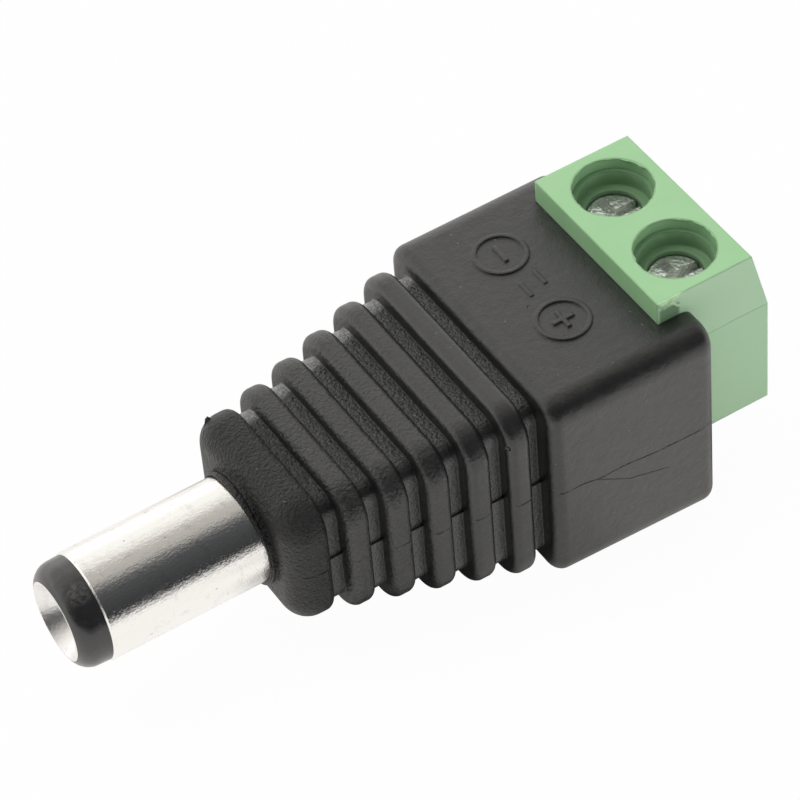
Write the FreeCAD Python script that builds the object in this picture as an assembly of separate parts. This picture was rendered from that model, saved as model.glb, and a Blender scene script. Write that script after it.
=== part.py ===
import FreeCAD, Part
import math
import os
from FreeCAD import Vector

# Barrel plug with a two-pole screw terminal, in millimetres.
# The origin is on the barrel's axis, at the shoulder where the barrel leaves the moulding.
# The barrel points along -X, the terminal along +X, and the screw wells open upwards, along +Z.

# Barrel
barrel_length = 9.8
barrel_diameter = 5.5
sleeve_wall = 0.35
nose_length = 1.5
nose_diameter = 5.3
nose_rounding_length = 0.9
nose_draft = 0.02
sleeve_edge_rounding = 0.08
pin_bore = 2.1
contact_wall = 0.3
mouth_diameter = 3.8
mouth_lip = 0.12
funnel_depth = 1.3

# Rear of the barrel, inside the moulding
flange_start = 0.6
flange_length = 0.6
flange_diameter = 6.2
flange_root_diameter = 5.8
shank_end = 5.0
shank_diameter = 5.2
bush_start = 1.0
bush_neck_diameter = 4.0
bush_flange_length = 1.0
bush_flange_diameter = 4.8
bore_end = -0.4
tag_thickness = 0.4
sleeve_tag_diameter = 5.8
sleeve_tag_width = 2.2
sleeve_tag_length = 5.5
centre_tag_diameter = 3.2
centre_tag_width = 1.8
centre_tag_length = 3.9
rivet_diameter = 1.8
rivet_head_diameter = 2.3
rivet_head_length = 0.35

# Collar and ribs of the moulding: the collar is the first rib
lip_diameter = 5.95
lip_height = 0.22
collar_length = 2.09
collar_rounding = 1.3
rib_count = 6
rib_thickness = 1.25
groove_width = 0.72
rib_edge_rounding = 0.45
rib_corner = 1.8
collar_half_width = 4.6
last_rib_half_width = 6.45
collar_half_height = 3.79
last_rib_top = 5.45
rib_top_curve = 1.5
last_rib_bottom = 5.75
rib_bottom_curve = 1.15
groove_depth_top = 0.65
groove_depth_side = 0.8
floor_corner = 1.0
mould_mismatch = 0.12

# Housing of the moulding
housing_length = 9.16
housing_width = 14.0
housing_top = 5.55
housing_bottom_front = -5.95
housing_bottom_rear = -6.3
housing_edge_rounding = 1.2
housing_front_rounding = 0.65
housing_rear_rounding = 0.7

# Terminal block, set into the rear of the housing
pole_pitch = 5.08
block_sunk_depth = 1.95
block_depth = 6.22
block_height = 9.88
block_rise = 1.29
bevel_run = 0.9
bevel_drop = 3.55
screw_setback = 2.77
well_diameter = 4.0
well_depth = 0.65
driver_hole_diameter = 3.6
retaining_ring_diameter = 2.75
retaining_ring_height = 0.25
head_seat_thickness = 0.4
entry_chamfer = 0.3

# Clamp hardware
thread_pitch = 0.4
screw_turns = 4.5
screw_diameter = 2.0
head_diameter = 2.9
head_height = 0.9
head_depth = 1.79
head_rounding = 0.15
slot_width = 0.5
slot_depth = 0.45
cage_width = 3.7
cage_length = 3.7
cage_roof = 0.8
cage_side = 0.5
cage_floor = 0.45
cage_corner = 0.35
bar_thickness = 0.5
tail_width = 1.2
tail_length = 2.0

# Link wires and their soldered joints
wire_diameter = 0.8
wire_end_past_joint = 1.0
wire_bend_radius = 1.6
wire_straight_at_tag = 3.0
wire_straight_at_bar = 2.9
joint_from_tag_end = 1.3
joint_from_bar_end = 0.8
solder_diameter = 1.7
solder_length = 1.8
solder_rounding = 0.35
solder_film = 0.03

# Polarity marks, raised on the housing's top, placed forward of the terminal block
mark_height = 0.09
mark_ring_diameter = 2.74
mark_ring_width = 0.22
mark_ring_setback = 3.36
mark_bar_length = 1.15
mark_bar_width = 0.22
plus_mark_y = -2.24
minus_mark_y = 3.03
dash_length = 1.0
dash_width = 0.2
dash_height = 0.05
front_dash_setback = 3.66
front_dash_y = 0.37
rear_dash_setback = 2.68
rear_dash_y = 0.69

# Fits, each the gap on one side
running_gap = 0.03
stop_gap = 0.02
guide_gap = 0.05

# Drawing aids
full_turn = 360
same_place = 0.0001
least_flat = 0.01

# Worked out from the sizes above
rim_x = -barrel_length
sleeve_front = rim_x + nose_length
sleeve_radius = barrel_diameter / 2
sleeve_bore_radius = sleeve_radius - sleeve_wall
contact_bore_radius = pin_bore / 2
contact_radius = contact_bore_radius + contact_wall
mouth_radius = mouth_diameter / 2
tag_end = shank_end + tag_thickness
bush_end = tag_end + bush_flange_length
rivet_end = bush_end + tag_thickness + rivet_head_length
collar_end = lip_height + collar_length
rib_pitch = rib_thickness + groove_width
housing_front = collar_end + (rib_count - 1) * rib_pitch + groove_width
housing_rear = housing_front + housing_length
half_width = housing_width / 2
block_front = housing_rear - block_sunk_depth
block_rear = block_front + block_depth
block_top = housing_top + block_rise
block_bottom = block_top - block_height
half_block = pole_pitch
pole_y = pole_pitch / 2
screw_x = block_front + screw_setback
travel = thread_pitch * screw_turns
head_top = block_top - head_depth
head_under = head_top - head_height
roof_closed = head_under - head_seat_thickness - stop_gap
roof_open = roof_closed - travel
bar_top = roof_open - cage_roof - stop_gap
bar_bottom = bar_top - bar_thickness
floor_closed = bar_bottom - stop_gap
floor_open = floor_closed - travel
cage_bottom = floor_open - cage_floor
chamber_top = roof_closed + stop_gap
chamber_bottom = cage_bottom - stop_gap
chamber_width = cage_width + 2 * guide_gap
chamber_front = screw_x - cage_length / 2 - guide_gap
bar_end = screw_x + cage_length / 2
bar_width = cage_width - 2 * cage_side - 2 * guide_gap
tail_start = block_front - tail_length
wire_radius = wire_diameter / 2
wire_lift = wire_radius + solder_film
tag_joint_x = bush_end + centre_tag_length - joint_from_tag_end
bar_joint_x = tail_start + joint_from_bar_end
X_AXIS = Vector(1, 0, 0)
Z_AXIS = Vector(0, 0, 1)
POLES = {"plus": -pole_y, "minus": pole_y}


def box(x0, x1, y0, y1, z0, z1):
    return Part.makeBox(x1 - x0, y1 - y0, z1 - z0, Vector(x0, y0, z0))


def rod_x(radius, x0, x1, y=0.0, z=0.0):
    return Part.makeCylinder(radius, x1 - x0, Vector(x0, y, z), X_AXIS)


def rod_z(radius, x, y, z0, z1):
    return Part.makeCylinder(radius, z1 - z0, Vector(x, y, z0), Z_AXIS)


def turned(profile, first_edge=None):
    # Solid of revolution about the barrel's axis, from (x, radius) points
    points = [Vector(x, 0, r) for x, r in profile]
    if first_edge is None:
        wire = Part.makePolygon(points + points[:1])
    else:
        wire = Part.Wire([first_edge] + Part.makePolygon(points).Edges)
    return Part.Face(wire).revolve(Vector(0, 0, 0), X_AXIS, full_turn)


def rounded_section(x, half_y, top, bottom, corner):
    # Rounded rectangle across the barrel's axis
    corner = min(corner, half_y - least_flat, (top - bottom) / 2 - least_flat)
    slant = corner * (1 - math.sqrt(0.5))
    edges = []
    for sy, sz, z in ((1, 1, top), (-1, 1, top), (-1, -1, bottom), (1, -1, bottom)):
        side = Vector(x, sy * half_y, z - sz * corner)
        middle = Vector(x, sy * (half_y - slant), z - sz * slant)
        end = Vector(x, sy * (half_y - corner), z)
        start, stop = (side, end) if sy * sz > 0 else (end, side)
        edges.append(Part.Arc(start, middle, stop).toShape())
    runs = []
    for number, edge in enumerate(edges):
        runs.append(edge)
        following = edges[(number + 1) % len(edges)]
        runs.append(Part.makeLine(edge.lastVertex().Point, following.firstVertex().Point))
    return Part.Wire(runs)


def slab(x0, x1, half_y, top, bottom, corner):
    face = Part.Face(rounded_section(x0, half_y, top, bottom, corner))
    return face.extrude(Vector(x1 - x0, 0, 0))


def side_profile(corners, half_y):
    # Prism across the barrel's axis, from (x, z) corners
    points = [Vector(x, -half_y, z) for x, z in corners + corners[:1]]
    return Part.Face(Part.makePolygon(points)).extrude(Vector(0, 2 * half_y, 0))


def edges_at_x(shape, x):
    found = []
    for edge in shape.Edges:
        reach = edge.BoundBox
        if abs(reach.XMin - x) < same_place and abs(reach.XMax - x) < same_place:
            found.append(edge)
    return found


def edges_along_x(shape, length):
    return [edge for edge in shape.Edges if abs(edge.BoundBox.XLength - length) < same_place]


def rib_sizes(number):
    # Half width, top and bottom, from the collar, number 0, to the last rib; the height grows late
    share = number / (rib_count - 1)
    half_y = collar_half_width + share * (last_rib_half_width - collar_half_width)
    top = collar_half_height + share ** rib_top_curve * (last_rib_top - collar_half_height)
    drop = collar_half_height + share ** rib_bottom_curve * (last_rib_bottom - collar_half_height)
    return half_y, top, -drop


def rib_span(number):
    if number == 0:
        return lip_height, collar_end
    if number == rib_count:
        return housing_front, housing_rear
    rear = collar_end + number * rib_pitch
    return rear - rib_thickness, rear


def make_ribs():
    solids = []
    for number in range(rib_count):
        x0, x1 = rib_span(number)
        rib = slab(x0, x1, *rib_sizes(number), rib_corner)
        front = collar_rounding if number == 0 else rib_edge_rounding
        rib = rib.makeFillet(front, edges_at_x(rib, x0))
        solids.append(rib.makeFillet(rib_edge_rounding, edges_at_x(rib, x1)))
    return solids


def make_groove_floors():
    # The floor between two ribs; the lower mould half stands out a little past the upper one
    solids = []
    for number in range(rib_count):
        following = min(number + 1, rib_count - 1)
        half_y, top, bottom = [(a + b) / 2 for a, b in zip(rib_sizes(number), rib_sizes(following))]
        half_y, top, bottom = half_y - groove_depth_side, top - groove_depth_top, bottom + groove_depth_top
        x0, x1 = sum(rib_span(number)) / 2, sum(rib_span(number + 1)) / 2
        floor = slab(x0, x1, half_y, top, bottom, floor_corner)
        lower = slab(x0, x1, half_y + mould_mismatch, top, bottom, floor_corner)
        lower = lower.common(box(x0, x1, -half_width, half_width, bottom, 0))
        solids += [floor, lower]
    return solids


def make_housing():
    shape = side_profile([
        (housing_front, housing_bottom_front),
        (housing_rear, housing_bottom_rear),
        (housing_rear, housing_top),
        (housing_front, housing_top),
    ], half_width)
    shape = shape.makeFillet(housing_edge_rounding, edges_along_x(shape, housing_length))
    shape = shape.makeFillet(housing_front_rounding, edges_at_x(shape, housing_front))
    return shape.makeFillet(housing_rear_rounding, edges_at_x(shape, housing_rear))


def raised_bar(x, y, length_x, length_y, height):
    return box(x - length_x / 2, x + length_x / 2, y - length_y / 2, y + length_y / 2,
               housing_top - height, housing_top + height)


def raised_ring(x, y):
    low, high = housing_top - mark_height, housing_top + mark_height
    outer = rod_z(mark_ring_diameter / 2, x, y, low, high)
    return outer.cut(rod_z(mark_ring_diameter / 2 - mark_ring_width, x, y, low, high))


def make_marks():
    ring_x = block_front - mark_ring_setback
    across = (mark_bar_width, mark_bar_length, mark_height)
    along = (mark_bar_length, mark_bar_width, mark_height)
    dash = (dash_width, dash_length, dash_height)
    return [
        raised_ring(ring_x, plus_mark_y),
        raised_bar(ring_x, plus_mark_y, *across).fuse(raised_bar(ring_x, plus_mark_y, *along)),
        raised_ring(ring_x, minus_mark_y),
        raised_bar(ring_x, minus_mark_y, *across),
        raised_bar(block_front - front_dash_setback, front_dash_y, *dash),
        raised_bar(block_front - rear_dash_setback, rear_dash_y, *dash),
    ]


def make_barrel_sleeve():
    flange_end = flange_start + flange_length
    return turned([
        (sleeve_front, sleeve_bore_radius),
        (sleeve_front, sleeve_radius - sleeve_edge_rounding),
        (sleeve_front + sleeve_edge_rounding, sleeve_radius),
        (0, sleeve_radius),
        (flange_start, flange_root_diameter / 2),
        (flange_start, flange_diameter / 2),
        (flange_end, flange_diameter / 2),
        (flange_end, shank_diameter / 2),
        (shank_end, shank_diameter / 2),
        (shank_end, sleeve_bore_radius),
    ])


def make_centre_contact():
    return turned([
        (rim_x, mouth_radius),
        (rim_x, mouth_radius + mouth_lip),
        (rim_x + funnel_depth, contact_radius),
        (bush_end, contact_radius),
        (bush_end, rivet_diameter / 2),
        (bush_end + tag_thickness, rivet_diameter / 2),
        (bush_end + tag_thickness, rivet_head_diameter / 2),
        (rivet_end, rivet_head_diameter / 2),
        (rivet_end, 0),
        (bore_end, 0),
        (bore_end, contact_bore_radius),
        (rim_x + funnel_depth, contact_bore_radius),
    ])


def nose_arc(start_radius):
    # Rounded nose: an arc that ends tangent to the ring's outside
    rise = nose_diameter / 2 - start_radius
    radius = (nose_rounding_length ** 2 + rise ** 2) / (2 * rise)
    half_turn = math.asin(nose_rounding_length / radius) / 2
    end_x = rim_x + nose_rounding_length
    start = Vector(rim_x, 0, start_radius)
    middle = Vector(end_x - radius * math.sin(half_turn), 0,
                    nose_diameter / 2 - radius * (1 - math.cos(half_turn)))
    return Part.Arc(start, middle, Vector(end_x, 0, nose_diameter / 2)).toShape()


def make_tip_insulator():
    start_radius = mouth_radius + mouth_lip
    return turned([
        (rim_x + nose_rounding_length, nose_diameter / 2),
        (sleeve_front, nose_diameter / 2 + nose_draft),
        (sleeve_front, sleeve_bore_radius),
        (bush_start, sleeve_bore_radius),
        (bush_start, contact_radius),
        (rim_x + funnel_depth, contact_radius),
        (rim_x, start_radius),
    ], nose_arc(start_radius))


def make_rear_insulator():
    return turned([
        (bush_start, contact_radius),
        (bush_start, sleeve_bore_radius),
        (shank_end, sleeve_bore_radius),
        (shank_end, bush_neck_diameter / 2),
        (tag_end, bush_neck_diameter / 2),
        (tag_end, bush_flange_diameter / 2),
        (bush_end, bush_flange_diameter / 2),
        (bush_end, contact_radius),
    ])


def solder_tag(x, diameter, hole_diameter, tail_width_z, tail_length, side):
    # A washer with its tail bent back along the axis
    radius = diameter / 2
    washer = rod_x(radius, x, x + tag_thickness).cut(rod_x(hole_diameter / 2, x, x + tag_thickness))
    inner, outer = radius - tag_thickness, radius
    y0, y1 = (inner, outer) if side > 0 else (-outer, -inner)
    tail = box(x, x + tail_length, y0, y1, -tail_width_z / 2, tail_width_z / 2)
    return washer.fuse(tail).removeSplitter()


def make_sleeve_lug():
    return solder_tag(shank_end, sleeve_tag_diameter, bush_neck_diameter,
                      sleeve_tag_width, sleeve_tag_length, 1)


def make_centre_lug():
    return solder_tag(bush_end, centre_tag_diameter, rivet_diameter,
                      centre_tag_width, centre_tag_length, -1)


def tag_wire_y(pole):
    # The plus wire lies on the outer side of its tag, the minus wire on the inner side
    if pole == "plus":
        return -centre_tag_diameter / 2 - wire_lift
    return sleeve_tag_diameter / 2 - tag_thickness - wire_lift


def bend(corner, before, after):
    # Tangent arc at a corner of a wire's path
    inward = (before - corner).normalize()
    outward = (after - corner).normalize()
    half_turn = (math.pi - inward.getAngle(outward)) / 2
    back = wire_bend_radius * math.tan(half_turn)
    start, stop = corner + inward * back, corner + outward * back
    middle_way = (inward + outward).normalize()
    centre_distance = wire_bend_radius / math.cos(half_turn)
    middle = corner + middle_way * (centre_distance - wire_bend_radius)
    return start, middle, stop


def make_link_wire(pole):
    start_y, end_z = tag_wire_y(pole), bar_top + wire_lift
    points = [
        Vector(tag_joint_x - wire_end_past_joint, start_y, 0),
        Vector(tag_joint_x + wire_straight_at_tag, start_y, 0),
        Vector(bar_joint_x - wire_straight_at_bar, POLES[pole], end_z),
        Vector(bar_joint_x + wire_end_past_joint, POLES[pole], end_z),
    ]
    edges, last = [], points[0]
    for before, corner, after in zip(points, points[1:], points[2:]):
        start, middle, stop = bend(corner, before, after)
        edges.append(Part.makeLine(last, start))
        edges.append(Part.Arc(start, middle, stop).toShape())
        last = stop
    edges.append(Part.makeLine(last, points[-1]))
    section = Part.Wire(Part.makeCircle(wire_radius, points[0], X_AXIS))
    return Part.Wire(edges).makePipeShell([section], True, True)


def solder_bead(x, y, z, half, wire):
    # The bead around a wire, on one side of the plate that the wire is soldered to
    radius = solder_diameter / 2
    bead = rod_x(radius, x - solder_length / 2, x + solder_length / 2, y, z)
    bead = bead.makeFillet(solder_rounding, edges_at_x(bead, x - solder_length / 2))
    bead = bead.makeFillet(solder_rounding, edges_at_x(bead, x + solder_length / 2))
    return bead.common(half).cut(wire)


def make_lug_solder(pole, wire):
    # Both wires lie on the side of their tag that faces -Y
    x, y, reach = tag_joint_x, tag_wire_y(pole), solder_diameter
    side = box(x - reach, x + reach, y - reach, y + wire_lift, -reach, reach)
    return solder_bead(x, y, 0, side, wire)


def make_bar_solder(pole, wire):
    x, y, reach = bar_joint_x, POLES[pole], solder_diameter
    above = box(x - reach, x + reach, y - reach, y + reach, bar_top, bar_top + reach)
    return solder_bead(x, y, bar_top + wire_lift, above, wire)


def block_outside():
    return side_profile([
        (block_front, block_bottom),
        (block_rear, block_bottom),
        (block_rear, block_top - bevel_drop),
        (block_rear - bevel_run, block_top),
        (block_front, block_top),
    ], half_block)


def wire_entry(y):
    # Chamber of the cage, open to the rear with a chamfered mouth
    half = chamber_width / 2
    chamber = box(chamber_front, block_rear, y - half, y + half, chamber_bottom, chamber_top)
    mouth = []
    for x, out in ((block_rear - entry_chamfer, 0.0), (block_rear, entry_chamfer)):
        y0, y1 = y - half - out, y + half + out
        z0, z1 = chamber_bottom - out, chamber_top + out
        corners = [(y0, z0), (y1, z0), (y1, z1), (y0, z1), (y0, z0)]
        mouth.append(Part.makePolygon([Vector(x, cy, cz) for cy, cz in corners]))
    return chamber.fuse(Part.makeLoft(mouth, True, True))


def make_terminal_housing():
    shape = block_outside()
    for pole, y in POLES.items():
        ledge = block_top - well_depth
        pocket_top = head_top + stop_gap
        ring_top = pocket_top + retaining_ring_height
        half_tail = tail_width / 2
        for hollow in (
            rod_z(well_diameter / 2, screw_x, y, ledge, block_top),
            rod_z(driver_hole_diameter / 2, screw_x, y, ring_top, ledge),
            rod_z(retaining_ring_diameter / 2, screw_x, y, pocket_top, ring_top),
            rod_z(head_diameter / 2 + guide_gap, screw_x, y, head_under, pocket_top),
            rod_z(screw_diameter / 2 + running_gap, screw_x, y, chamber_top, head_under),
            wire_entry(y),
            box(block_front, chamber_front, y - half_tail, y + half_tail, bar_bottom, bar_top),
        ):
            shape = shape.cut(hollow)
    return shape


def make_current_bar(y):
    half_bar, half_tail = bar_width / 2, tail_width / 2
    plate = box(chamber_front, bar_end, y - half_bar, y + half_bar, bar_bottom, bar_top)
    tail = box(tail_start, chamber_front, y - half_tail, y + half_tail, bar_bottom, bar_top)
    return plate.fuse(tail).removeSplitter()


def make_clamp_cage(y):
    half_length, half = cage_length / 2, cage_width / 2
    outer = box(screw_x - half_length, screw_x + half_length, y - half, y + half, cage_bottom, roof_open)
    outer = outer.makeFillet(cage_corner, edges_along_x(outer, cage_length))
    inner = box(screw_x - half_length, screw_x + half_length, y - half + cage_side,
                y + half - cage_side, floor_open, roof_open - cage_roof)
    thread = rod_z(screw_diameter / 2 + running_gap, screw_x, y, roof_open - cage_roof, roof_open)
    return outer.cut(inner).cut(thread)


def make_clamp_screw(y):
    head = rod_z(head_diameter / 2, screw_x, y, head_under, head_top)
    crown = [edge for edge in head.Edges if abs(edge.BoundBox.ZMin - head_top) < same_place]
    head = head.makeFillet(head_rounding, crown)
    shank = rod_z(screw_diameter / 2, screw_x, y, bar_top + stop_gap, head_under)
    screw = head.fuse(shank).removeSplitter()
    half, reach = slot_width / 2, head_diameter
    low = head_top - slot_depth
    slot = box(screw_x - reach, screw_x + reach, y - half, y + half, low, head_top)
    cross_reach = head_diameter / 2 - head_rounding
    cross = box(screw_x - half, screw_x + half, y - cross_reach, y + cross_reach, low, head_top)
    return screw.cut(slot).cut(cross)


def make_moulded_body(inner_pieces):
    shape = rod_x(lip_diameter / 2, 0, 2 * lip_height)
    shape = shape.fuse(make_ribs() + make_groove_floors() + [make_housing()] + make_marks())
    shape = shape.removeSplitter()
    return shape.cut([rod_x(sleeve_bore_radius, 0, shank_end)] + inner_pieces)


def single(shape):
    # The one solid of a shape that may come wrapped in a compound
    return shape.Solids[0] if len(shape.Solids) == 1 else shape


os.makedirs("parts", exist_ok=True)
pieces = {
    "barrel_sleeve": make_barrel_sleeve(),
    "tip_insulator": make_tip_insulator(),
    "centre_contact": make_centre_contact(),
    "rear_insulator": make_rear_insulator(),
    "sleeve_lug": make_sleeve_lug(),
    "centre_lug": make_centre_lug(),
}
for pole, y in POLES.items():
    bar, wire = make_current_bar(y), make_link_wire(pole)
    pieces["current_bar_" + pole] = bar
    pieces["link_wire_" + pole] = wire
    pieces["lug_solder_" + pole] = make_lug_solder(pole, wire)
    pieces["bar_solder_" + pole] = make_bar_solder(pole, wire)
inside_moulding = list(pieces.values()) + [block_outside()]
pieces["moulded_body"] = make_moulded_body(inside_moulding)
pieces["terminal_housing"] = make_terminal_housing()
for pole, y in POLES.items():
    pieces["clamp_cage_" + pole] = make_clamp_cage(y)
    pieces["clamp_screw_" + pole] = make_clamp_screw(y)

for name, shape in pieces.items():
    shape = single(shape)
    print(name, shape.ShapeType, len(shape.Solids), "valid" if shape.isValid() else "not valid",
          round(shape.Volume, 3))
    shape.exportStep("parts/" + name + ".step")
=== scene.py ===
import math
from functools import reduce

import bmesh
import bpy
from mathutils import Matrix, Vector, noise


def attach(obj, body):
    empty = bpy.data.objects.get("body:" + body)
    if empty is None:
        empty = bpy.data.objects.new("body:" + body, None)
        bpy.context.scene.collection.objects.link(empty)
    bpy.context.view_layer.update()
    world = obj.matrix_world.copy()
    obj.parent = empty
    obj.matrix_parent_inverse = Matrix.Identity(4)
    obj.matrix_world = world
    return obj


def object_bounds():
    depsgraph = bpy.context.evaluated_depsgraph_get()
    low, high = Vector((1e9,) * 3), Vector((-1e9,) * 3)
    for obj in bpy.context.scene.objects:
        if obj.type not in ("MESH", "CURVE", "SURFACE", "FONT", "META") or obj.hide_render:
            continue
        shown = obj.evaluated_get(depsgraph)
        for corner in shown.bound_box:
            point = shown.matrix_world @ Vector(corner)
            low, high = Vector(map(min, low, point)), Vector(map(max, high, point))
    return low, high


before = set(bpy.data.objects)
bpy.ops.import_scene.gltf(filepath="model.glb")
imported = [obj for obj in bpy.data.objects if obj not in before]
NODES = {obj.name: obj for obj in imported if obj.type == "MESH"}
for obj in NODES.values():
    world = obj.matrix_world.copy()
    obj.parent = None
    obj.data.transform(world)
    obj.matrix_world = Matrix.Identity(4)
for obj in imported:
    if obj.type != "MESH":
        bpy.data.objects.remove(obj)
CAD_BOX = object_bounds()
MM = 0.001

# Camera, in metres, degrees and, for lens and sensor, mm
CAMERA_PLACE = (-0.054484, -0.116645, 0.143187)
CAMERA_AIM = (0.009668, 0.001207, 0.001548)
CAMERA_ROLL = -5.288
CAMERA_LENS = 187.25
CAMERA_SENSOR = 36.0
CAMERA_CLIP = (0.005, 5.0)

# Softboxes, both aimed at one point: name, place and size in metres, power in watts
LAMP_AIM = (0.01, 0.0, 0.0)
LAMPS = (("top_softbox", (-0.10, 0.10, 0.34), 0.26, 0.62),
         ("near_softbox", (0.13, -0.26, 0.14), 0.24, 0.38))

# Room in reflections: degrees off the vertical, towards the near side, and how bright and how
# warm it is there
ROOM_BANDS = ((-110, 1.35, 0.04), (-75, 1.35, 0.04), (-58, 1.0, 0.04), (-30, 1.0, 0.04),
              (-21, 0.70, 0.10), (-15, 0.50, 0.10), (9, 0.48, 0.10), (14, 0.31, 0.10),
              (20, 0.14, -0.08), (31, 0.075, -0.08), (62, 0.05, -0.08), (80, 0.04, -0.08),
              (110, 0.1, -0.08))

# Floor: half its side in metres, and the share of plain white in what the camera sees of it
FLOOR_REACH = 0.6
FLOOR_PLAIN = 0.97

# Shades on the floor in reflections: the edges, each as axis and the metres where it starts and
# where it is full, and the brightness outside and inside. One lies behind the moulding and
# beneath it, one in front of it
FLOOR_SHADES = (
    (((0, -0.001, 0.004), (0, 0.034, 0.026), (1, -0.0075, -0.005), (1, 0.020, 0.008)),
     0.98, 0.04),
    (((0, 0.002, 0.006), (0, 0.0185, 0.0145), (1, -0.005, -0.0075), (1, -0.030, -0.020)),
     1.0, 0.74),
)

# From here on, all sizes are in mm. Barrel and moulding: collar, ribs, grooves and housing
BARREL_RADIUS = 2.75
COLLAR_END = 2.31
RIB_PITCH = 1.97
GROOVE_WIDTH = 0.72
HOUSING_FRONT = 12.88
HOUSING_SIDE = 7.0

# Where a groove's floor turns over its corner: its |y| at x = 0, and how that grows with x
GROOVE_CORNER = 2.5
GROOVE_WIDENING = 0.188

# Terminal block
SCREW_X = 22.86
POLE_Y = 2.54
POLES = {"plus": -POLE_Y, "minus": POLE_Y}
BLOCK_TOP = 6.84
BLOCK_FRONT = 20.09
BLOCK_SIDE = 5.08
BEVEL_FOOT = BLOCK_TOP - 3.57
WELL_RADIUS = 2.0
WELL_LEDGE = 6.19
WELL_FOOT = 4.1
HEAD_UNDER = 4.15
THREAD_PITCH = 0.4

# Parting line on the moulding's sides and the flow line that leaves it on the near side, as
# (x, z) points, half the width of each, and how deep they are
PARTING_LINE = ((0.0, 0.0), (13.6, 0.01), (14.41, -0.01), (15.35, -0.2), (16.48, -0.17),
                (18.74, -0.43), (21.02, -0.5), (22.0, -0.28))
PARTING_HALF_WIDTH = 0.06
FLOW_LINE = ((15.2, -0.2), (17.01, -1.27), (19.16, -1.89))
FLOW_HALF_WIDTH = 0.05
LINE_DEPTH = 0.05

# Nicks in the ribs' near corners and on top of the housing, as (x, y, z, radius), and how deep
# they are. The rubbed spot on the nose, given the same way
NICKS = ((10.97, -6.2, 3.87, 0.16), (8.91, -6.0, 4.4, 0.14), (4.68, -5.3, 4.2, 0.14),
         (15.9, -0.6, 5.55, 0.10))
NICK_DEPTH = 0.06
NOSE_RUB = (-8.95, -1.1, 2.45, 0.75)

# Flap of flash on the collar's far shoulder: its free edge, its middle and, as a vector, half
# its thickness there
NIB_EDGE = ((0.62, 3.74, 2.90), (0.70, 3.86, 3.03), (0.89, 4.06, 3.27), (1.03, 4.08, 3.35),
            (1.12, 3.97, 3.29), (1.16, 3.82, 3.19))
NIB_MIDDLE = Vector((0.95, 3.70, 3.00))
NIB_HALF_THICK = Vector((-0.02, -0.03, 0.035))

# Torn flake at the block's front corner, as (x, z) points: along the edge, and round the tear
BURR_TOP = ((20.08, 6.845), (20.4, 6.870), (20.7, 6.850), (21.0, 6.875), (21.3, 6.855),
            (21.6, 6.842))
BURR_TORN = ((21.5, 6.80), (21.3, 6.74), (21.1, 6.68), (20.97, 6.60), (21.1, 6.42),
             (21.28, 6.24), (21.27, 6.09), (21.08, 6.24), (20.9, 6.43), (20.75, 6.44),
             (20.59, 6.46), (20.42, 6.39), (20.3, 6.54), (20.12, 6.66))

# Colours, as linear light. Black moulding
BLACK = (0.0105, 0.0108, 0.0110)
BLACK_PALER = (0.0160, 0.0163, 0.0163)
# Painted light on the groove sides, which the ribs shade
GROOVE_SIDE_PAINTED_LIGHT = (0.055, 0.056, 0.055)
# Painted glints on the groove tops
GROOVE_PAINTED_GLINT = (0.060, 0.061, 0.060)
# Painted highlight where a groove's floor turns over its far corner
GROOVE_CORNER_HIGHLIGHT = (0.310, 0.312, 0.310)
LINE_DARK = (0.003, 0.003, 0.003)
DUST = (0.24, 0.24, 0.23)

# Green block
GREEN = (0.330, 0.600, 0.310)
GREEN_PALER = (0.355, 0.620, 0.330)
GREEN_FLECK = (0.37, 0.63, 0.34)
# Green sides: frosted, and painted paler as a reflected haze
FROSTED_HAZE_LOWER = (0.470, 0.715, 0.455)
FROSTED_HAZE_UPPER = (0.490, 0.730, 0.480)
CREASE = (0.29, 0.51, 0.28)
# Painted shadow under the torn flake on the near side
BURR_SHADOW = (0.085, 0.165, 0.080)
# Painted shade down the screw wells and on their ledges
WELL_SHADE = (0.110, 0.190, 0.105)
LEDGE_SHADE = (0.065, 0.145, 0.065)
TORN = (0.40, 0.68, 0.36)
TORN_PALER = (0.55, 0.80, 0.50)

# Nose and bush
NOSE = (0.017, 0.017, 0.018)
NOSE_PALER = (0.026, 0.026, 0.027)
NOSE_RUBBED = (0.16, 0.16, 0.155)
BUSH = (0.030, 0.030, 0.030)
BUSH_PALER = (0.045, 0.045, 0.045)

# Metals
BARREL_NICKEL = (0.95, 0.935, 0.91)
CONTACT_NICKEL = (0.93, 0.92, 0.90)
SCREW_ZINC = (0.98, 0.98, 0.97)
CAGE_ZINC = (0.66, 0.66, 0.66)
BRASS = (0.74, 0.70, 0.60)
COPPER = (0.78, 0.45, 0.32)
SOLDER = (0.72, 0.72, 0.71)

# Floor and room
WHITE = (1.0, 1.0, 1.0)
FLOOR_GREY = (0.82, 0.82, 0.82)
FLOOR_MIRRORED = (1.0, 0.98, 0.955)


def grey(brightness):
    return (brightness, brightness, brightness)


def shaded(colour, share):
    """The colour at a share of its brightness."""
    return tuple(share * value for value in colour)


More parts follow.
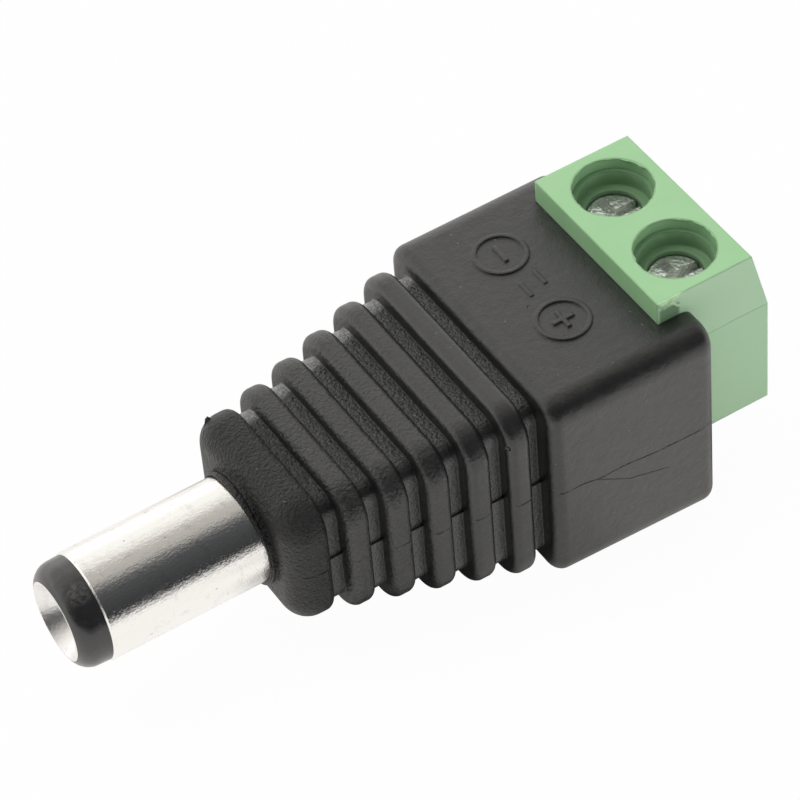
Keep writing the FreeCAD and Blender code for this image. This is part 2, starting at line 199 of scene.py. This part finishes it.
class Graph:
    """The nodes of a material or a world. Wherever a value is asked for, a socket does too."""

    def __init__(self, owner):
        owner.use_nodes = True
        self.tree = owner.node_tree
        self.tree.nodes.clear()

    def put(self, socket, value):
        if isinstance(value, bpy.types.NodeSocket):
            self.tree.links.new(value, socket)
        elif socket.type == "RGBA":
            socket.default_value = (*value, 1.0)
        else:
            socket.default_value = value

    def add(self, kind, inputs=(), **settings):
        """A new node, with what its named or numbered inputs get."""
        node = self.tree.nodes.new("ShaderNode" + kind)
        for key, value in settings.items():
            setattr(node, key, value)
        for key, value in dict(inputs).items():
            self.put(node.inputs[key], value)
        return node

    def split(self, vector):
        return self.add("SeparateXYZ", {0: vector}).outputs

    def math(self, operation, *values):
        return self.add("Math", dict(enumerate(values)), operation=operation).outputs[0]

    def fold(self, operation, values):
        return reduce(lambda a, b: self.math(operation, a, b), values)

    def times(self, *values):
        return self.fold("MULTIPLY", values)

    def plus(self, *values):
        return self.fold("ADD", values)

    def weighted(self, *pairs):
        """The sum of values that each have a weight."""
        return self.plus(*(self.times(value, weight) for value, weight in pairs))

    def inverse(self, value):
        return self.math("SUBTRACT", 1.0, value)

    def span(self, value, low, high, start=0.0, end=1.0, shape="SMOOTHSTEP"):
        """Maps low..high to start..end, clamped, with soft ends unless the shape is LINEAR."""
        inputs = dict(enumerate((value, low, high, start, end)))
        return self.add("MapRange", inputs, interpolation_type=shape).outputs[0]

    def between(self, value, low, high, soft):
        """1 from low to high, 0 outside, with soft edges."""
        rise = self.span(value, low - soft, low + soft)
        fall = self.span(value, high - soft, high + soft, 1.0, 0.0)
        return self.times(rise, fall)

    def level(self, factor, a, b):
        """A number that goes from a to b with the factor."""
        return self.add("Mix", {0: factor, 2: a, 3: b}, data_type="FLOAT").outputs[0]

    def mix(self, factor, a, b):
        """A colour that goes from a to b with the factor."""
        return self.add("Mix", {0: factor, 6: a, 7: b}, data_type="RGBA").outputs[2]

    def coats(self, colour, *coats):
        """The colour under coats, each given as how much it covers and its own colour."""
        for cover, coat in coats:
            colour = self.mix(cover, colour, coat)
        return colour

    def ramp(self, value, stops):
        """A colour ramp through stops of position and colour."""
        node = self.add("ValToRGB", {0: value})
        elements = node.color_ramp.elements
        for number, (position, colour) in enumerate(stops):
            stop = elements[number] if number < 2 else elements.new(position)
            stop.position = position
            stop.color = (*colour, 1.0)
        return node.outputs[0]

    def blend(self, factor, a, b):
        """A shader that goes from the node a to the node b with the factor."""
        return self.add("MixShader", {0: factor, 1: a.outputs[0], 2: b.outputs[0]})


class Surface(Graph):
    """A plastic or metal material. Its places and sizes are in mm."""

    def __init__(self, name):
        self.material = bpy.data.materials.new(name)
        super().__init__(self.material)
        self.bsdf = self.add("BsdfPrincipled")
        self.add("OutputMaterial", {"Surface": self.bsdf.outputs[0]})
        self.place = self.add("TexCoord")
        self.mm = self.stretch((1 / MM, 1 / MM, 1 / MM), self.place.outputs["Object"])
        self.x, self.y, self.z = self.split(self.mm)[:3]

    def set(self, name, value):
        self.put(self.bsdf.inputs[name], value)

    def stretch(self, factors, vector=None):
        inputs = {0: vector or self.mm, 1: factors}
        return self.add("VectorMath", inputs, operation="MULTIPLY").outputs[0]

    def noise(self, scale, detail=3.0, roughness=0.5, vector=None, distortion=0.0):
        inputs = {"Vector": vector or self.mm, "Scale": scale, "Detail": detail,
                  "Roughness": roughness, "Distortion": distortion}
        return self.add("TexNoise", inputs).outputs[0]

    def voronoi(self, scale):
        return self.add("TexVoronoi", {"Vector": self.mm, "Scale": scale}).outputs

    def cells(self, scale):
        return self.voronoi(scale)["Distance"]

    def flecks(self, scale, radius, share):
        """1 in scattered dots of the given radius, in that share of the cells."""
        cells = self.voronoi(scale)
        drawn = self.add("SeparateColor", {0: cells["Color"]}).outputs[0]
        reach = radius * scale
        dot = self.span(cells["Distance"], 0.5 * reach, reach, 1.0, 0.0)
        return self.times(self.math("LESS_THAN", drawn, share), dot)

    def spot(self, x, y, z, radius):
        """1 in a ball, 0 outside."""
        away = self.add("VectorMath", {0: self.mm, 1: (x, y, z)}, operation="DISTANCE")
        return self.span(away.outputs["Value"], 0.4 * radius, radius, 1.0, 0.0)

    def line(self, points, half_width, wobble):
        """1 on a line through (x, z) points, seen from the side."""
        first, last = points[0][0], points[-1][0]
        low, high = min(z for _, z in points), max(z for _, z in points)
        along = self.span(self.x, first, last, shape="LINEAR")
        stops = [((x - first) / (last - first), grey((z - low) / (high - low)))
                 for x, z in points]
        height = self.math("MULTIPLY_ADD", self.ramp(along, stops), high - low, low)
        away = self.math("ABSOLUTE", self.math("SUBTRACT", self.z, self.plus(height, wobble)))
        on_line = self.span(away, 0.3 * half_width, half_width, 1.0, 0.0)
        return self.times(on_line, self.between(self.x, first, last, 0.05))

    def facing(self, axis):
        """How far a face looks along an axis, 0 for x to 2 for z."""
        return self.split(self.place.outputs["Normal"])[axis]

    def facing_side(self):
        """1 on faces that look to either side, 0 on the others."""
        return self.span(self.math("ABSOLUTE", self.facing(1)), 0.75, 0.9)

    def round_edges(self, radius):
        return self.add("Bevel", {"Radius": radius * MM}, samples=6).outputs[0]

    def bump(self, height, distance=1.0, normal=None):
        """The normal on a height, which is in mm where the distance is 1."""
        inputs = {"Height": height, "Distance": distance * MM}
        if normal is not None:
            inputs["Normal"] = normal
        return self.add("Bump", inputs).outputs[0]


def groove_ends(s, start=GROOVE_CORNER):
    """1 where a groove's floor turns over its corner and on its sides, 0 on its top."""
    reach = s.math("SUBTRACT", s.math("ABSOLUTE", s.y), s.times(s.x, GROOVE_WIDENING))
    return s.span(reach, start, start + 0.5)


def groove_mask(s):
    """1 on the groove floors, 0 on the ribs, collar and housing."""
    edge = 0.02
    run = s.math("DIVIDE", s.math("SUBTRACT", s.x, COLLAR_END), RIB_PITCH)
    phase = s.times(s.math("FRACT", run), RIB_PITCH)
    return s.times(s.between(phase, edge, GROOVE_WIDTH - edge, edge),
                   s.between(s.x, COLLAR_END, HOUSING_FRONT, edge))


def moulding_lines(s, groove):
    """1 on the parting line, which skips the groove floors, and on the flow line."""
    wobble = s.math("MULTIPLY_ADD", s.noise(2.6, 4.0, 0.6), 0.16, -0.08)
    strength = s.span(s.noise(1.9, 2.0), 0.38, 0.55, 0.25, 1.0)
    seam = s.line(PARTING_LINE, PARTING_HALF_WIDTH, wobble)
    seam = s.times(seam, s.inverse(groove), strength)
    near = s.span(s.y, 0.1 - HOUSING_SIDE, 0.3 - HOUSING_SIDE, 1.0, 0.0)
    flow = s.times(s.line(FLOW_LINE, FLOW_HALF_WIDTH, wobble), near, 0.7)
    return s.times(s.math("MAXIMUM", seam, flow), s.facing_side())


def black_moulding():
    s = Surface("black_moulding")
    groove, ends = groove_mask(s), groove_ends(s)
    lines = moulding_lines(s, groove)
    collar = s.span(s.x, COLLAR_END, COLLAR_END + 1.0, 1.0, 0.0)
    housing = s.span(s.x, HOUSING_FRONT - 0.1, HOUSING_FRONT + 0.3)
    frontward = s.span(s.x, 2.0, HOUSING_FRONT, 1.0, 0.0)
    far = s.span(s.y, 0.0, 1.0)
    # Grain: leathery on the collar and the front ribs, a fine peel on the housing, crystalline in
    # the grooves. Then the lines and the nicks, cut into it
    leather = s.plus(s.noise(5.5, 3.0, 0.6, distortion=0.4), s.times(s.cells(6.5), -0.25))
    outer = s.weighted((leather, s.level(frontward, 0.012, s.level(collar, 0.085, 0.15))),
                       (s.noise(13.0, 3.0, 0.6), s.level(housing, 0.0045, 0.019)),
                       (s.noise(1.8), s.level(housing, 0.010, 0.032)),
                       (s.noise(4.5, 3.0, 0.6), 0.012))
    inner = s.weighted((s.noise(6.2, 3.0, 0.65), 0.10), (s.cells(7.0), -0.035))
    inner = s.times(inner, s.level(ends, 1.0, 0.34))
    nicks = s.fold("MAXIMUM", [s.spot(*nick) for nick in NICKS])
    cuts = s.weighted((lines, -LINE_DEPTH), (nicks, -NICK_DEPTH))
    height = s.plus(s.level(groove, outer, inner), cuts)
    s.set("Normal", s.bump(height, normal=s.round_edges(0.14)))
    # The grooves have painted light: sides painted paler, painted glints on top and a painted
    # highlight on the far corner
    # Painted glints: bright grain on the groove floors
    painted_glints = s.span(s.noise(7.0, 3.0, 0.7), 0.46, 0.66)
    # Painted highlight on the far corner of the groove floors
    corner = s.times(groove_ends(s, GROOVE_CORNER - 0.55), far, s.span(s.facing(2), 0.35, 0.6))
    s.set("Base Color", s.coats(
        BLACK,
        (s.span(s.noise(1.1, 4.0, 0.6), 0.35, 0.7), BLACK_PALER),
        # Painted light on the groove sides
        (s.times(groove, s.facing_side(), ends), GROOVE_SIDE_PAINTED_LIGHT),
        (s.times(groove, painted_glints, s.inverse(ends), 0.8), GROOVE_PAINTED_GLINT),
        (s.times(groove, corner, s.level(painted_glints, 0.5, 1.0)), GROOVE_CORNER_HIGHLIGHT),
        (s.times(lines, 0.9), LINE_DARK),
        (s.times(s.flecks(2.0, 0.05, 0.2), 0.55), DUST)))
    rough = s.level(groove, s.level(frontward, 0.33, 0.40), 0.28)
    worn = s.span(s.noise(3.0, 4.0, 0.65), 0.3, 0.75, -0.03, 0.05)
    s.set("Roughness", s.plus(rough, s.times(lines, 0.3), worn))
    s.set("IOR", s.level(collar, 1.75, 1.5))
    s.set("Sheen Weight", s.times(groove, ends, far))
    s.set("Sheen Roughness", 0.35)
    return s.material


def nickel(name, base, rough, scratch):
    """Plating with lengthwise wear, stains and dark spots."""
    s = Surface(name)
    lengthwise = s.noise(2.4, 5.0, 0.7, vector=s.stretch((0.22, 3.0, 3.0)))
    hairline = s.noise(3.0, 3.0, 0.6, vector=s.stretch((0.15, 9.0, 9.0)))
    stains = s.noise(1.3, 4.0, 0.7, vector=s.stretch((1.2, 0.9, 0.9)))
    spots = s.flecks(1.7, 0.085, 0.3)
    s.set("Base Color", s.coats(base, (s.span(stains, 0.52, 0.74), shaded(base, 0.86)),
                                (s.times(spots, 0.5), shaded(base, 0.45))))
    s.set("Metallic", 1.0)
    wear = s.span(lengthwise, 0.42, 0.72, 0.0, scratch)
    s.set("Roughness", s.plus(wear, s.times(spots, 0.2), rough))
    s.set("Normal", s.bump(s.weighted((lengthwise, 0.007), (hairline, 0.0012),
                                      (s.noise(3.2, 3.0, 0.6), 0.007),
                                      (s.noise(7.5, 3.0, 0.7), 0.013), (spots, -0.008))))
    return s.material


def tip_plastic():
    s = Surface("tip_plastic")
    scuffs = s.noise(2.6, 4.0, 0.65)
    rubbed = s.times(s.spot(*NOSE_RUB), s.span(s.noise(5.0, 4.0, 0.7), 0.42, 0.62))
    s.set("Base Color", s.coats(NOSE, (s.span(scuffs, 0.45, 0.7), NOSE_PALER),
                                (s.times(rubbed, 0.3), NOSE_RUBBED)))
    s.set("Roughness", s.plus(s.span(scuffs, 0.35, 0.7, 0.20, 0.28), s.times(rubbed, 0.15)))
    s.set("IOR", 1.75)
    s.set("Normal", s.bump(s.weighted((s.noise(14.0), 0.004), (scuffs, 0.006))))
    return s.material


def painted_well_shade(s):
    """How much painted shade darkens the walls down in the screw wells, and their ledges."""
    across = s.math("SUBTRACT", s.math("ABSOLUTE", s.y), POLE_Y)
    off = s.math("SUBTRACT", s.x, SCREW_X)
    radius = s.math("SQRT", s.plus(s.times(across, across), s.times(off, off)))
    inside = s.times(s.span(radius, WELL_RADIUS + 0.02, WELL_RADIUS + 0.12, 1.0, 0.0),
                     s.span(s.z, WELL_FOOT - 0.1, WELL_FOOT + 0.1))
    depth = s.plus(s.z, s.times(s.noise(1.6, 3.0, 0.6), 0.5))
    walls = s.span(depth, BLOCK_TOP - 1.1, BLOCK_TOP + 0.3, 1.0, 0.0)
    ledges = s.between(s.z, WELL_LEDGE - 0.06, WELL_LEDGE + 0.03, 0.03)
    return s.times(walls, inside, 0.74), s.times(ledges, inside, 0.6)


def green_plastic():
    s = Surface("green_plastic")
    # The sides are frosted, and painted paler for the white haze they reflect, in two tones that
    # meet in a crease level with the foot of the bevel, and the near one has a painted shadow
    # under the torn flake by its front corner
    side = s.facing_side()
    outside = s.times(side, s.span(s.math("ABSOLUTE", s.y), BLOCK_SIDE - 0.06, BLOCK_SIDE - 0.02))
    crease = s.times(s.between(s.z, BEVEL_FOOT - 0.03, BEVEL_FOOT + 0.03, 0.03), side)
    # Painted shadow under the torn flake
    burr_shadow = s.times(s.between(s.x, BLOCK_FRONT + 0.1, BLOCK_FRONT + 1.2, 0.12),
                    s.span(s.z, BLOCK_TOP - 0.6, BLOCK_TOP - 0.35, 1.0, 0.0),
                    s.span(s.y, 0.18 - BLOCK_SIDE, 0.28 - BLOCK_SIDE, 1.0, 0.0))
    # Painted reflected haze on the frosted sides
    frosted_haze = s.coats(FROSTED_HAZE_LOWER,
                      (s.span(s.z, BEVEL_FOOT - 0.05, BEVEL_FOOT + 0.07), FROSTED_HAZE_UPPER),
                      (s.times(crease, 0.5), CREASE), (s.times(burr_shadow, 0.8), BURR_SHADOW))
    # Painted shade in the screw wells and on their ledges
    walls, ledges = painted_well_shade(s)
    s.set("Base Color", s.coats(
        GREEN,
        (s.span(s.noise(0.5), 0.3, 0.7), GREEN_PALER),
        (s.span(s.noise(6.0, 3.0, 0.6), 0.62, 0.8, 0.0, 0.35), GREEN_FLECK),
        (outside, frosted_haze), (walls, WELL_SHADE), (ledges, LEDGE_SHADE)))
    polish = s.span(s.noise(3.0, 3.0, 0.6), 0.3, 0.7, 0.34, 0.46)
    s.set("Roughness", s.level(outside, polish, 0.6))
    s.set("IOR", 1.6)
    s.set("Subsurface Weight", 0.08)
    s.set("Subsurface Radius", (0.4, 0.8, 0.4))
    s.set("Subsurface Scale", 0.5 * MM)
    ripple = s.plus(s.noise(1.4, 2.0), s.weighted((s.noise(16.0, 2.0), 0.12), (crease, -1.5)))
    s.set("Normal", s.bump(ripple, 0.012, s.round_edges(0.17)))
    return s.material


def torn_green():
    s = Surface("green_plastic_torn")
    s.set("Base Color", s.mix(s.span(s.noise(4.0, 3.0, 0.6), 0.35, 0.65), TORN, TORN_PALER))
    s.set("Roughness", 0.5)
    s.set("Normal", s.bump(s.noise(6.0, 3.0, 0.6), 0.03))
    return s.material


def zinc(name, base, rough, pole_y=None):
    """Dull, pitted plating, with a thread on the shank of the screw at pole_y."""
    s = Surface(name)
    grain, pits = s.noise(4.0, 4.0, 0.6), s.cells(5.0)
    s.set("Base Color", s.mix(s.span(grain, 0.45, 0.7), base, shaded(base, 0.7)))
    s.set("Metallic", 0.86)
    s.set("Roughness", s.plus(s.span(pits, 0.0, 0.5, 0.0, 0.1), rough))
    height = s.weighted((grain, 0.035), (pits, 0.025))
    if pole_y is not None:
        # Right-hand thread
        across, off = s.math("SUBTRACT", s.y, pole_y), s.math("SUBTRACT", s.x, SCREW_X)
        turns = s.math("DIVIDE", s.math("ARCTAN2", across, off), 2 * math.pi)
        climb = s.math("SUBTRACT", s.math("DIVIDE", s.z, THREAD_PITCH), turns)
        shank = s.span(s.z, HEAD_UNDER - 0.05, HEAD_UNDER, 1.0, 0.0)
        height = s.plus(height, s.times(s.math("PINGPONG", climb, 0.5), 0.4, shank))
    s.set("Normal", s.bump(height, normal=s.round_edges(0.06)))
    return s.material


def tinned(name, base, rough):
    """Smooth metal with a slight wave."""
    s = Surface(name)
    wave = s.noise(3.0, 4.0, 0.6)
    s.set("Base Color", s.mix(s.span(wave, 0.35, 0.7), base, shaded(base, 0.8)))
    s.set("Metallic", 1.0)
    s.set("Roughness", s.span(wave, 0.3, 0.7, rough, rough + 0.12))
    s.set("Normal", s.bump(s.noise(8.0, 3.0, 0.6), 0.01))
    return s.material


def bush_plastic():
    s = Surface("bush_plastic")
    s.set("Base Color", s.mix(s.noise(2.0), BUSH, BUSH_PALER))
    s.set("Roughness", 0.55)
    s.set("Normal", s.bump(s.noise(9.0), 0.01))
    return s.material


def dress(material, *names):
    for name in names:
        mesh = NODES[name].data
        mesh.materials.clear()
        mesh.materials.append(material)


def at_poles(*kinds):
    """The names of nodes that there is one of at each pole."""
    return [kind + "_" + pole for kind in kinds for pole in POLES]


black = black_moulding()
green = green_plastic()
dress(black, "moulded_body")
dress(nickel("barrel_nickel", BARREL_NICKEL, 0.09, 0.12), "barrel_sleeve")
dress(nickel("contact_nickel", CONTACT_NICKEL, 0.3, 0.1), "centre_contact")
dress(tip_plastic(), "tip_insulator")
dress(green, "terminal_housing")
for pole, pole_y in POLES.items():
    dress(zinc("screw_zinc_" + pole, SCREW_ZINC, 0.16, pole_y), "clamp_screw_" + pole)
dress(zinc("cage_zinc", CAGE_ZINC, 0.32), *at_poles("clamp_cage"))
dress(tinned("tinned_brass", BRASS, 0.3), "sleeve_lug", "centre_lug", *at_poles("current_bar"))
dress(tinned("copper_wire", COPPER, 0.28), *at_poles("link_wire"))
dress(tinned("solder", SOLDER, 0.25), *at_poles("lug_solder", "bar_solder"))
dress(bush_plastic(), "rear_insulator")


def add_piece(name, material, vertices, faces, body="plug"):
    """New mesh from points in mm, smooth, riding on a body."""
    mesh = bpy.data.meshes.new(name)
    mesh.from_pydata([Vector(v) * MM for v in vertices], [], faces)
    graph = bmesh.new()
    graph.from_mesh(mesh)
    bmesh.ops.recalc_face_normals(graph, faces=graph.faces)
    for face in graph.faces:
        face.smooth = True
    graph.to_mesh(mesh)
    graph.free()
    mesh.materials.append(material)
    piece = bpy.data.objects.new(name, mesh)
    bpy.context.scene.collection.objects.link(piece)
    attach(piece, body)


def circle(count):
    """That many angles, evenly round a circle."""
    return [2 * math.pi * i / count for i in range(count)]


def ring_faces(around, section):
    """Faces of a closed ring whose points run round the section, then round the ring."""
    faces = []
    for i in range(around):
        for j in range(section):
            here, ahead = i * section, (i + 1) % around * section
            side = (j + 1) % section
            faces.append((here + j, here + side, ahead + side, ahead + j))
    return faces


def add_collar_flash():
    """The thin, uneven film of moulding that creeps along the barrel in front of the collar."""
    around, section = 180, 10
    inner_radius = BARREL_RADIUS + 0.005
    thickest = math.radians(75)
    points = []
    for turn in circle(around):
        uneven = noise.noise(Vector((math.cos(turn) * 1.7, math.sin(turn) * 1.7, 3.1)))
        heavy = max(0.0, math.cos(turn - thickest))
        half_thickness = 0.055 + 0.03 * uneven + 0.055 * heavy
        length = 0.08 + 0.03 * uneven + 0.27 * heavy
        for angle in circle(section):
            radius = inner_radius + half_thickness + half_thickness * math.cos(angle)
            points.append((0.03 - length * (0.5 + 0.5 * math.sin(angle)),
                           radius * math.cos(turn), radius * math.sin(turn)))
    add_piece("collar_flash", black, points, ring_faces(around, section))


def add_collar_nib():
    """Thin flap of flash that stands up from the collar's far shoulder."""
    points = [NIB_MIDDLE + NIB_HALF_THICK, NIB_MIDDLE - NIB_HALF_THICK]
    faces = []
    for number, corner in enumerate(NIB_EDGE):
        half_edge = 0.5 * NIB_HALF_THICK
        points += [Vector(corner) + half_edge, Vector(corner) - half_edge]
        if number:
            a, b = 2 * number, 2 * number + 2
            faces += [(0, a, b), (1, b + 1, a + 1), (a, a + 1, b + 1, b)]
    last = len(points) - 2
    faces += [(0, 1, 3, 2), (0, last, last + 1, 1)]
    add_piece("collar_nib", black, points, faces)


def add_block_burr():
    """Torn flake that hangs at the near top edge of the block, by its front corner."""
    thickness = 0.06
    outline = BURR_TOP + BURR_TORN
    points = []
    for x, z in outline:
        y = -BLOCK_SIDE - 0.03 - 0.16 * (BLOCK_TOP - z)
        points += [(x, y, z), (x, y + thickness, z - 0.01)]
    count = len(outline)
    faces = [tuple(range(0, 2 * count, 2)), tuple(range(2 * count - 1, 0, -2))]
    for i in range(count):
        a, b = 2 * i, 2 * ((i + 1) % count)
        faces.append((a, a + 1, b + 1, b))
    add_piece("block_burr", torn_green(), points, faces)


def add_well_rim(pole, y):
    """The ragged edge that the mould left round a screw well."""
    around, section = 120, 6
    clearance, proud = 0.015, 0.004
    points = []
    for turn in circle(around):
        place = Vector((math.cos(turn) * 2.6, math.sin(turn) * 2.6, y))
        ragged = abs(noise.noise(place)) + 0.6 * abs(noise.noise(place * 3.0))
        half_width = 0.01 + 0.055 * ragged
        half_depth = 0.015 + 0.06 * ragged
        for angle in circle(section):
            radius = WELL_RADIUS + clearance - half_width + half_width * math.cos(angle)
            points.append((SCREW_X + radius * math.cos(turn), y + radius * math.sin(turn),
                           BLOCK_TOP + proud - half_depth + half_depth * math.sin(angle)))
    add_piece("well_rim_" + pole, green, points, ring_faces(around, section))


def floor_white():
    """Plain white to the camera, but for a faint contact shadow."""
    material = bpy.data.materials.new("floor_white")
    g = Graph(material)
    path = g.add("LightPath").outputs
    lit = g.add("BsdfDiffuse", {"Color": FLOOR_GREY})
    plain = g.add("Emission", {"Color": WHITE, "Strength": 1.0})
    seen = g.math("MAXIMUM", path["Is Camera Ray"], path["Is Transmission Ray"])
    direct = g.blend(g.times(seen, FLOOR_PLAIN), lit, plain)
    # In reflections it is white too, apart from its shades
    place = g.split(g.add("TexCoord").outputs["Object"])
    levels = []
    for edges, outside, inside in FLOOR_SHADES:
        covered = g.times(*(g.span(place[axis], start, full) for axis, start, full in edges))
        levels.append(g.level(covered, outside, inside))
    mirrored = g.add("Emission", {"Color": FLOOR_MIRRORED, "Strength": g.times(*levels)})
    surface = g.blend(path["Is Glossy Ray"], direct, mirrored)
    g.add("OutputMaterial", {"Surface": surface.outputs[0]})
    return material


def add_floor():
    low = CAD_BOX[0][2]
    mesh = bpy.data.meshes.new("floor")
    corners = [(x * FLOOR_REACH, y * FLOOR_REACH, low)
               for x, y in ((-1, -1), (1, -1), (1, 1), (-1, 1))]
    mesh.from_pydata(corners, [], [(0, 1, 2, 3)])
    mesh.materials.append(floor_white())
    floor = bpy.data.objects.new("floor", mesh)
    bpy.context.scene.collection.objects.link(floor)


def add_world():
    """Room that the camera sees as white. To the rest it is bright on the far side, grey
    overhead and dark on the near side."""
    world = bpy.data.worlds.new("studio")
    bpy.context.scene.world = world
    g = Graph(world)
    place = g.split(g.add("TexCoord").outputs["Generated"])
    lean = g.math("ARCTAN2", g.times(place[1], -1.0), place[2])
    stops = []
    for degrees, shade, warmth in ROOM_BANDS:
        colour = (shade, shade * (1 - 0.4 * warmth), shade * (1 - warmth))
        stops.append((degrees / 360 + 0.5, colour))
    bands = g.ramp(g.span(lean, -math.pi, math.pi, shape="LINEAR"), stops)
    room = g.add("Background", {"Color": bands, "Strength": 1.0})
    white = g.add("Background", {"Color": WHITE, "Strength": 1.0})
    seen = g.blend(g.add("LightPath").outputs["Is Camera Ray"], room, white)
    g.add("OutputWorld", {"Surface": seen.outputs[0]})


def aimed(place, target):
    """The turn that makes a lamp or camera at a place look at the target."""
    return (Vector(target) - Vector(place)).to_track_quat("-Z", "Y")


def add_lamp(name, place, size, power):
    lamp = bpy.data.lights.new(name, "AREA")
    lamp.shape = "DISK"
    lamp.size = size
    lamp.energy = power
    holder = bpy.data.objects.new(name, lamp)
    bpy.context.scene.collection.objects.link(holder)
    holder.location = place
    holder.rotation_euler = aimed(place, LAMP_AIM).to_euler()
    holder.visible_glossy = False


def add_camera():
    data = bpy.data.cameras.new("camera")
    camera = bpy.data.objects.new("camera", data)
    bpy.context.scene.collection.objects.link(camera)
    turn = aimed(CAMERA_PLACE, CAMERA_AIM).to_matrix().to_4x4()
    roll = Matrix.Rotation(math.radians(CAMERA_ROLL), 4, "Z")
    camera.matrix_world = Matrix.Translation(CAMERA_PLACE) @ turn @ roll
    data.sensor_width = CAMERA_SENSOR
    data.lens = CAMERA_LENS
    data.clip_start, data.clip_end = CAMERA_CLIP
    bpy.context.scene.camera = camera


add_collar_flash()
add_collar_nib()
add_block_burr()
for pole, pole_y in POLES.items():
    add_well_rim(pole, pole_y)
add_floor()
add_world()
for lamp in LAMPS:
    add_lamp(*lamp)
add_camera()
bpy.context.scene.view_settings.view_transform = "Standard"
